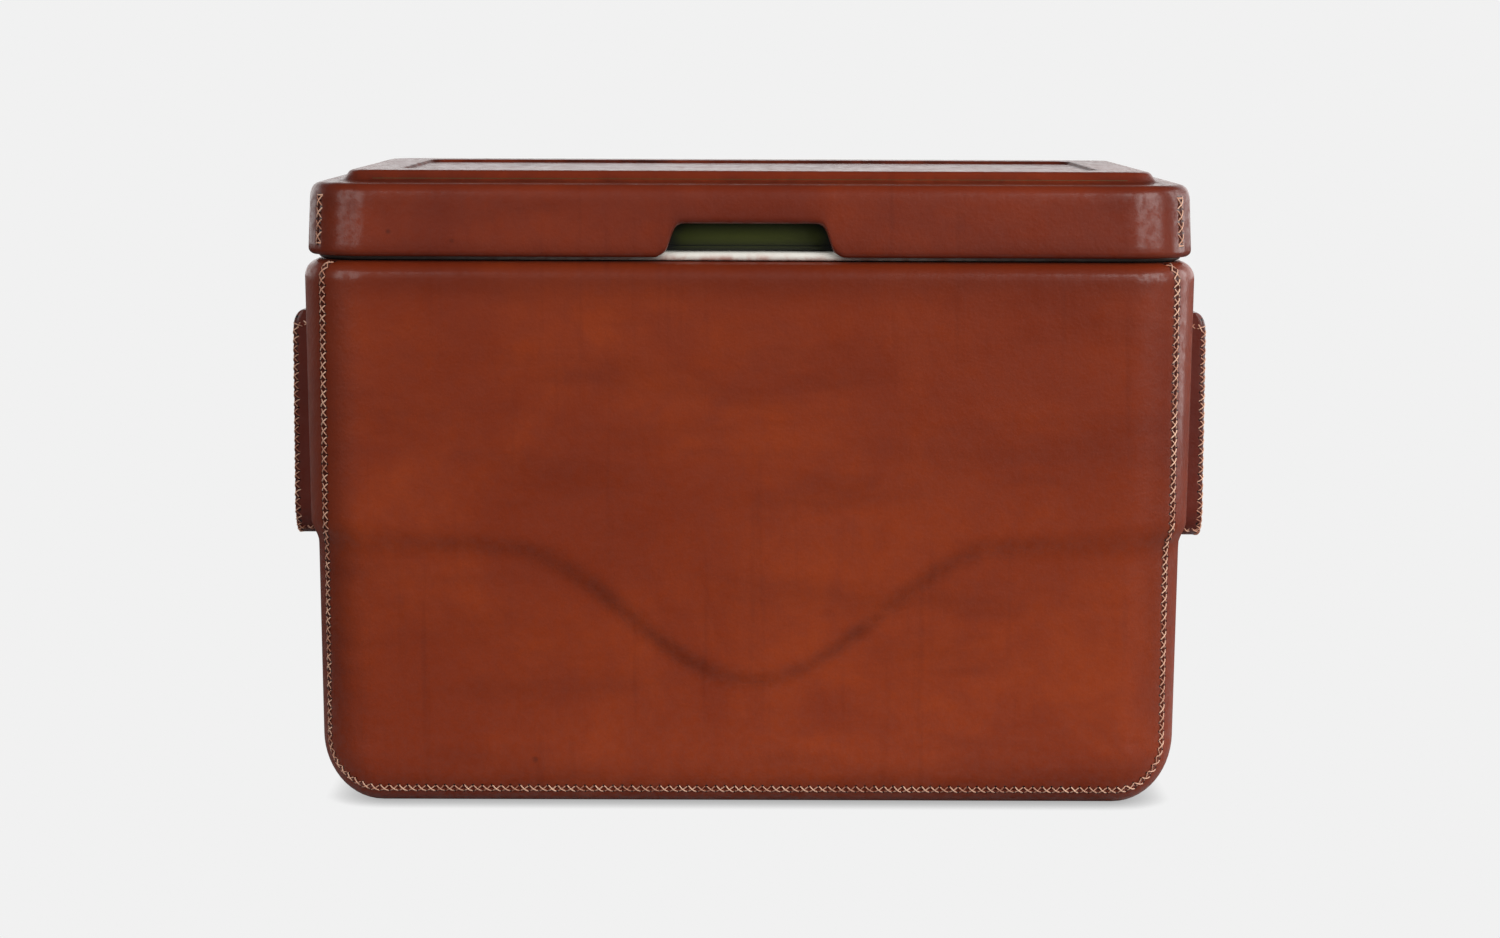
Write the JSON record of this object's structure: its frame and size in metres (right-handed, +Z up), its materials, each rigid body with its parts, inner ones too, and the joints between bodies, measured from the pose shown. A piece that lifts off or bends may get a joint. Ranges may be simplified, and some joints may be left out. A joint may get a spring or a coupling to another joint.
{
  "type": "leather cooler",
  "caption": "Hard chest cooler in a hand-stitched leather cover: insulated tub with a white rim, back-hinged lid with a front finger recess, and a swing handle on each side.",
  "frame": {"origin": "on the floor, under the middle of the cooler's leather body", "axes": "+Z up, +X to the right of someone facing the front, front faces -Y, hinges at +Y"},
  "size_m": [0.5408, 0.3069, 0.3664],
  "materials": {
    "cover_leather": "satin",
    "olive_plastic": "satin",
    "white_plastic": "satin",
    "insulating_foam": "matte",
    "brass": "satin",
    "steel": "satin",
    "waxed_thread": "matte"
  },
  "bodies": {
    "body": {"front_leather_panel": "cover_leather", "back_leather_panel": "cover_leather", "side_bottom_leather_band": "cover_leather", "body_shell": "olive_plastic", "body_foam": "insulating_foam", "body_liner": "white_plastic", "left_handle_bracket": "olive_plastic", "left_handle_rod": "steel", "left_bracket_screw_1": "steel", "left_bracket_screw_2": "steel", "left_hinge_lower_leaf": "brass", "left_hinge_pin": "steel", "left_lower_hinge_screw_1": "brass", "left_lower_hinge_screw_2": "brass", "right_handle_bracket": "olive_plastic", "right_handle_rod": "steel", "right_bracket_screw_1": "steel", "right_bracket_screw_2": "steel", "right_hinge_lower_leaf": "brass", "right_hinge_pin": "steel", "right_lower_hinge_screw_1": "brass", "right_lower_hinge_screw_2": "brass"},
    "lid": {"lid_leather": "cover_leather", "lid_shell": "olive_plastic", "lid_foam": "insulating_foam", "lid_liner": "white_plastic", "left_hinge_upper_leaf": "brass", "left_upper_hinge_screw_1": "brass", "left_upper_hinge_screw_2": "brass", "right_hinge_upper_leaf": "brass", "right_upper_hinge_screw_1": "brass", "right_upper_hinge_screw_2": "brass"},
    "left_handle": {"left_handle_core": "olive_plastic", "left_handle_leather": "cover_leather"},
    "right_handle": {"right_handle_core": "olive_plastic", "right_handle_leather": "cover_leather"}
  },
  "joints": [
    {"name": "lid_hinge", "type": "hinge", "parent": "body", "child": "lid", "pos_m": [0, 0.15357, 0.3175], "axis": [-1, 0, 0], "range_deg": [0, 105]},
    {"name": "left_handle_swing", "type": "hinge", "parent": "body", "child": "left_handle", "pos_m": [-0.26367, 0, 0.2745], "axis": [0, 1, 0], "range_deg": [0, 170]},
    {"name": "right_handle_swing", "type": "hinge", "parent": "body", "child": "right_handle", "pos_m": [0.26367, 0, 0.2745], "axis": [0, -1, 0], "range_deg": [0, 170]}
  ]
}
